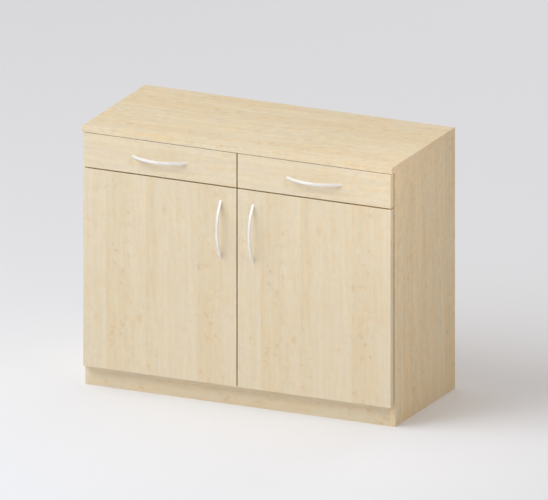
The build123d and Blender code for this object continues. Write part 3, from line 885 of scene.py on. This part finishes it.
@dataclass
class Screws(Fitting):
    """Cross-head screws with a crowned head and a thread near the tip."""

    FINISH = ZINC
    SLOT = "zinc_plate"

    head_height: float = 0.0012
    crown: float = 0.0004
    face_steps: tuple[float, ...] = (0.0, 0.15, 0.4, 0.7, 0.92, 1.0)
    cross_middle: float = 0.16
    cross_arm: float = 0.42
    recess: float = 0.0009
    floor_width: float = 0.6
    wall_width: float = 0.9
    wall_depth: float = 0.6
    edge: float = 0.00012
    neck: float = 0.0004
    pitch: float = 0.0014
    thread_depth: float = 0.0003
    thread_length: float = 0.0072
    thread_rows: int = 42
    thread_fullness: float = 0.4
    taper: float = 0.0012
    tip_width: float = 0.4

    def grid(self, solid: Solid) -> np.ndarray:
        """One screw's surface, from the floor of its recess over the head and down to the tip.

        The recess is a cross: its radius is the head's radius x (its middle + its arm x the cube of
        the cosine of twice the angle, taken as positive). The crown falls as the square of the
        radius. The thread's radius is the shaft's less a cosine wave that turns once round each
        pitch, and that wave swells from nought and back.

        Args:
            solid: the measured solid.

        Returns:
            Rows, columns and three coordinates.
        """
        angle = self.angles()
        head, shaft = solid.radius, solid.tip_radius
        level = np.ones((1, self.around))
        cross = head * (self.cross_middle + self.cross_arm * np.abs(np.cos(2 * angle)) ** 3)
        face = cross + (head - cross) * np.array(self.face_steps)[:, None]
        rim = self.head_height - self.edge

        end = solid.length - self.taper
        start = max(end - self.thread_length, self.head_height + self.neck)
        run = np.linspace(start, end, self.thread_rows)[:, None]
        wave = 0.5 - 0.5 * np.cos(FULL_TURN * run / self.pitch - angle)
        swell = np.sin(np.linspace(0.0, math.pi, self.thread_rows))[:, None] ** self.thread_fullness
        thread = shaft - self.thread_depth * wave * swell

        rows = [
            (cross[None] * self.floor_width, self.recess * level),
            (cross[None] * self.wall_width, self.recess * self.wall_depth * level),
            (face, self.crown * (face / head) ** 2),
            (head * level, rim * level),
            ((head - self.edge) * level, self.head_height * level),
            (shaft * level, self.head_height * level),
            (thread, run * level),
            (self.tip_width * shaft * level, solid.length * level),
        ]
        radius, depth = (np.concatenate(part) for part in zip(*rows))
        return solid.turned(radius, depth, angle)


@dataclass
class Bumpers(Fitting):
    """Clear door bumpers: low domes, flat where they are stuck to the door."""

    FINISH = SOFT_PAD
    SLOT = "clear_rubber"

    dome: float = 0.0016
    dome_rows: int = 9
    dome_start: float = 0.06

    def grid(self, solid: Solid) -> np.ndarray:
        """One bumper's surface, from the middle of its dome to its base on the door.

        The dome is a quarter of an oval: the radius goes as the sine and the depth as one less the
        cosine of the same angle.

        Args:
            solid: the measured solid.

        Returns:
            Rows, columns and three coordinates.
        """
        swing = np.linspace(self.dome_start, 1.0, self.dome_rows) * QUARTER_TURN
        radius = solid.radius * np.append(np.sin(swing), 1.0)
        depth = np.append(self.dome * (1 - np.cos(swing)), solid.length)
        return self.revolve(replace(solid, head_high=True), radius, depth)


@dataclass
class Roller(Fitting):
    """A moulded roller: a rounded tread, a sunk web on both sides and a raised hub."""

    FINISH = NYLON
    SLOT = "nylon"
    RING = True

    around: int = 64
    rim: float = 0.001
    rim_rows: int = 6
    web_depth: float = 0.0011
    web_outer: float = 0.0072
    web_inner: float = 0.0045
    edge: float = 0.0003

    def grid(self, solid: Solid) -> np.ndarray:
        """The roller's surface, once round its section.

        Half the section runs from the middle of the tread round the rim, over the side and the web
        to the middle of the bore, and the other half is its mirror image.

        Args:
            solid: the measured solid.

        Returns:
            Rows, columns and three coordinates.
        """
        half, edge = solid.length / 2, self.edge
        swing = np.linspace(0.0, QUARTER_TURN, self.rim_rows)
        sunk = half - self.web_depth
        section = [
            (self.web_outer, half),
            (self.web_outer - edge / 2, half - edge),
            (self.web_outer - edge, sunk + edge),
            (self.web_outer - 2 * edge, sunk),
            (self.web_inner + 2 * edge, sunk),
            (self.web_inner + edge, sunk + edge),
            (self.web_inner + edge / 2, half - edge),
            (self.web_inner, half),
            (solid.bore + edge, half),
            (solid.bore, half - edge),
        ]
        tread = solid.radius - self.rim * (1 - np.cos(swing))
        shoulder = half - self.rim * (1 - np.sin(swing))
        radius, side = np.concatenate([np.stack([tread, shoulder], axis=1), section]).T
        profile = np.concatenate([radius, radius[::-1]])
        return self.revolve(solid, profile, half + np.concatenate([side, -side[::-1]]))


@dataclass
class BowHandle:
    """A bow handle: a tapering bar between an outer and an inner arc, on the face of a front."""

    node: str
    body: str
    foot: float = 0.014
    thickness: float = 0.006
    end_narrowing: float = 0.12
    narrowing_power: int = 6
    roundness: float = 4.2
    stations: int = 97
    around: int = 40

    def build(self, wardrobe: Wardrobe) -> None:
        """Makes the handle in the place of its node.

        Each station lies at the same share of the angle of both arcs. Its outline is a rounded
        oval, whose half depth is half the way from the inner to the outer arc, and whose half
        width narrows towards the ends as a power of the share.

        Args:
            wardrobe: where its material comes from.
        """
        low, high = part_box(self.node)
        size = high - low
        upright = size.z > size.x
        lengthwise, sideways = (ALONG_Z, ALONG_X) if upright else (ALONG_X, ALONG_Z)
        half = size[lengthwise] / 2
        middle = (low + high) / 2

        share = np.linspace(-1.0, 1.0, self.stations)
        outer = self.arc(share, half, size.y)
        inner = self.arc(share, half - self.foot, size.y - self.thickness)
        centre = (outer + inner) / 2
        reach = (outer - inner) / 2
        narrowing = self.end_narrowing * np.abs(share) ** self.narrowing_power
        half_width = size[sideways] / 2 * (1 - narrowing)

        turn = np.linspace(0.0, FULL_TURN, self.around, endpoint=False)
        power = 2 / self.roundness
        out = np.sign(np.cos(turn)) * np.abs(np.cos(turn)) ** power
        side = np.sign(np.sin(turn)) * np.abs(np.sin(turn)) ** power
        along = centre[:, None, 0] + reach[:, None, 0] * out
        away = centre[:, None, 1] + reach[:, None, 1] * out
        lateral = half_width[:, None] * (-side if upright else side)

        points = np.empty((self.stations, self.around, 3))
        points[..., ALONG_Y] = high.y - away
        points[..., lengthwise] = middle[lengthwise] + along
        points[..., sideways] = middle[sideways] + lateral
        piece = surface_piece(f"{self.node}_bar", points[None])
        wardrobe.dress(piece, SATIN_SILVER, Grain.UPRIGHT if upright else Grain.ACROSS)
        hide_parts(self.node)
        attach(piece, self.body)
        log.info("built %s", piece.name)

    @staticmethod
    def arc(share: np.ndarray, half_chord: float, rise: float) -> np.ndarray:
        """Points of a round arc on its chord.

        The radius is (half chord squared + rise squared) / (2 rise), and a point lies at its
        share of the half angle.

        Args:
            share: from -1 at one end to 1 at the other.
            half_chord: half the distance between the arc's ends.
            rise: the arc's height over the middle of its chord.

        Returns:
            An array of distances along the chord and away from it.
        """
        radius = (half_chord**2 + rise**2) / (2 * rise)
        angle = share * math.asin(half_chord / radius)
        return np.stack([radius * np.sin(angle), radius * np.cos(angle) - (radius - rise)], axis=-1)


@dataclass
class Carcass:
    """The standing part of the sideboard: its boards, shelf, back and fittings."""

    body: str = "carcass"
    across: tuple[str, ...] = ("bottom_panel", "drawer_deck", "shelf", "plinth_front", "plinth_rear")

    def dress(self, wardrobe: Wardrobe) -> None:
        """Gives each board and fitting its finish, and builds the screws."""
        # The left side gets the drawers' maple. The right side, which stands in shade, gets a warmer copy
        # with painted shade.
        wardrobe.dress_board("side_left", DRAWER_MAPLE, Grain.UPRIGHT, 0.0)
        wardrobe.dress_board("side_right", SHADED_SIDE_MAPLE, Grain.UPRIGHT, 0.0)
        wardrobe.dress_board("top_panel", TOP_MAPLE, Grain.ACROSS, -0.165)
        for node in self.across:
            wardrobe.dress_node(node, MAPLE, Grain.ACROSS)
        wardrobe.dress_node("drawer_divider", MAPLE, Grain.DEEP)
        wardrobe.dress_node("back_panel", BACK_SHEET, Grain.UPRIGHT)
        wardrobe.dress_node("dowels", BEECH, Grain.ACROSS)
        wardrobe.dress_node("cam_housings", CASTING)
        wardrobe.dress_node("cam_bolts", ZINC)
        wardrobe.dress_node("shelf_pins", ZINC)
        wardrobe.dress_node("hinge_plates", CASTING)
        Screws("hinge_plate_screws", self.body, ALONG_X).build(wardrobe)
        wardrobe.dress_node("hinge_arms", NICKEL)
        Screws("cabinet_runner_screws", self.body, ALONG_X).build(wardrobe)


@dataclass
class Drawer:
    """One drawer, with the runners that carry it."""

    hand: str

    def dress(self, wardrobe: Wardrobe) -> None:
        """Gives the drawer and its runners their finishes, and builds its fittings and handle."""
        name = f"drawer_{self.hand}"
        wardrobe.dress_board(f"{name}_front", DRAWER_MAPLE, Grain.ACROSS, 0.3575)
        for board in ("side_inner", "side_outer", "inner_front", "back", "bottom"):
            wardrobe.dress_node(f"{name}_{board}", DRAWER_BOARD)
        wardrobe.dress_node(f"{name}_rails", WHITE_COAT)
        wardrobe.dress_node(f"cabinet_runners_{self.hand}", WHITE_COAT)
        Screws(f"{name}_rail_screws", name, ALONG_Z).build(wardrobe)
        Screws(f"{name}_handle_screws", name, ALONG_Y).build(wardrobe)
        for end in ("front", "rear"):
            for side in ("inner", "outer"):
                roller = f"{end}_roller_{self.hand}_{side}"
                Roller(roller, roller, ALONG_X).build(wardrobe)
        BowHandle(f"{name}_handle", name).build(wardrobe)


@dataclass
class Door:
    """One door, with its hinge cups and bumpers."""

    hand: str

    def dress(self, wardrobe: Wardrobe) -> None:
        """Gives the door and its hinges their finishes, and builds its fittings and handle."""
        name = f"door_{self.hand}"
        wardrobe.dress_board(f"{name}_panel", MAPLE, Grain.UPRIGHT, 0.0)
        wardrobe.dress_node(f"{name}_hinge_cups", NICKEL)
        wardrobe.dress_node(f"{name}_hinge_pins", ZINC)
        Screws(f"{name}_handle_screws", name, ALONG_Y).build(wardrobe)
        Bumpers(f"{name}_bumpers", name, ALONG_Y).build(wardrobe)
        BowHandle(f"{name}_handle", name).build(wardrobe)


@dataclass(frozen=True)
class Lamp:
    """One soft lamp, aimed at the middle of the sideboard or at a place of its own."""

    name: str
    kind: str
    place: Point
    power: float
    spread: float
    colour: Point = (1.0, 1.0, 1.0)
    aim: Point = (0.0, 0.0, 0.4)

    def hang(self) -> None:
        """Puts the lamp in the scene: a round panel, or a far light with a soft edge."""
        data = bpy.data.lights.new(self.name, self.kind)
        data.energy = self.power
        data.color = self.colour
        if self.kind == "SUN":
            data.angle = self.spread
        else:
            data.shape = "DISK"
            data.size = self.spread
        lamp = in_scene(self.name, data)
        lamp.visible_camera = False
        back = Vector(self.place) - Vector(self.aim)
        turned = back.to_track_quat("Z", "Y").to_matrix().to_4x4()
        lamp.matrix_world = Matrix.Translation(self.place) @ turned


@dataclass
class Studio:
    """The floor, the light and the camera, which aren't part of the sideboard."""

    azimuth: float = 24.83
    elevation: float = 17.42
    pixel: float = 1 / 341.67
    aim_right: float = 0.0162
    aim_up: float = 0.4014
    camera_distance: float = 20.0
    floor_half: float = 30.0
    floor_colour: Colour = (0.85, 0.858, 0.892, 1.0)
    floor_roughness: float = 0.7
    sky: float = 0.424
    sky_colour: Colour = (1.0, 0.96, 0.934, 1.0)
    backdrop: float = 0.86
    lamps: tuple[Lamp, ...] = (
        Lamp("key", "AREA", (-4.0, -3.0, 6.0), 219.0, 5.0, (0.973, 0.992, 1.0)),
        Lamp("left", "SUN", (-6.0, -3.0, 4.0), 0.59, math.radians(80), (0.905, 0.944, 1.0)),
        Lamp("rear", "SUN", (-3.0, 4.0, 6.0), 0.22, math.radians(60), (1.0, 0.96, 0.86)),
        Lamp("near", "AREA", (-0.5, -1.7, 2.0), 10.0, 1.0, (0.81, 0.91, 1.0)),
        Lamp("fill", "AREA", (1.0, -0.6, 1.15), 2.1, 0.4, (1.0, 0.88, 0.74)),
        Lamp("backdrop", "AREA", (1.0, 7.5, 4.0), 75.0, 4.0, aim=(0.9, 3.9, 0.0)),
    )

    def directions(self) -> tuple[Vector, Vector, Vector]:
        """Turns the camera's two angles into directions.

        Returns:
            The directions to the right, up and back, each one long.
        """
        turn, lift = math.radians(self.azimuth), math.radians(self.elevation)
        right = Vector((math.cos(turn), math.sin(turn), 0.0))
        up = Vector((-math.sin(turn) * math.sin(lift), math.cos(turn) * math.sin(lift), math.cos(lift)))
        return right, up, right.cross(up)

    def camera(self) -> None:
        """Sets up a camera with a parallel view, aimed from the middle of the top's plan."""
        low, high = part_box("top_panel")
        right, up, back = self.directions()
        plan = Vector(((low.x + high.x) / 2, (low.y + high.y) / 2, 0.0))
        target = plan + right * self.aim_right + up * self.aim_up
        data = bpy.data.cameras.new("camera")
        data.type = "ORTHO"
        data.ortho_scale = PHOTO_WIDTH * self.pixel
        camera = in_scene("camera", data)
        turned = Matrix((right, up, back)).transposed().to_4x4()
        camera.matrix_world = Matrix.Translation(target + back * self.camera_distance) @ turned
        bpy.context.scene.camera = camera

    def floor(self) -> None:
        """Lays a plain pale floor."""
        half = self.floor_half
        corners = [(-half, -half, 0), (half, -half, 0), (half, half, 0), (-half, half, 0)]
        mesh = bpy.data.meshes.new("floor")
        mesh.from_pydata(corners, [], [(0, 1, 2, 3)])
        floor = in_scene("floor", mesh)
        material = bpy.data.materials.new("floor_paint")
        material.use_nodes = True
        shader = material.node_tree.nodes["Principled BSDF"]
        shader.inputs["Base Color"].default_value = self.floor_colour
        shader.inputs["Roughness"].default_value = self.floor_roughness
        mesh.materials.append(material)

    def light(self) -> None:
        """Sets up a pale sky and the soft lamps."""
        world = bpy.data.worlds.new("studio")
        bpy.context.scene.world = world
        world.use_nodes = True
        world.node_tree.nodes.clear()
        graph = Graph(world.node_tree)
        seen = graph.add("ShaderNodeLightPath").outputs["Is Camera Ray"]
        strength = graph.math("MULTIPLY_ADD", seen, self.backdrop - self.sky, self.sky)
        sky = graph.add("ShaderNodeBackground", {"Color": self.sky_colour, "Strength": strength})
        graph.add("ShaderNodeOutputWorld", {"Surface": sky.outputs["Background"]})
        for lamp in self.lamps:
            lamp.hang()
        bpy.context.scene.view_settings.view_transform = "Standard"


def main() -> None:
    """Dresses the model, builds the new pieces and sets up the studio."""
    logging.basicConfig(level=logging.INFO, format="%(name)s: %(message)s")
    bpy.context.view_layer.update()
    wardrobe = Wardrobe()
    Carcass().dress(wardrobe)
    for hand in ("left", "right"):
        Drawer(hand).dress(wardrobe)
        Door(hand).dress(wardrobe)
    studio = Studio()
    studio.floor()
    studio.light()
    studio.camera()


if __name__ == "__main__":
    main()
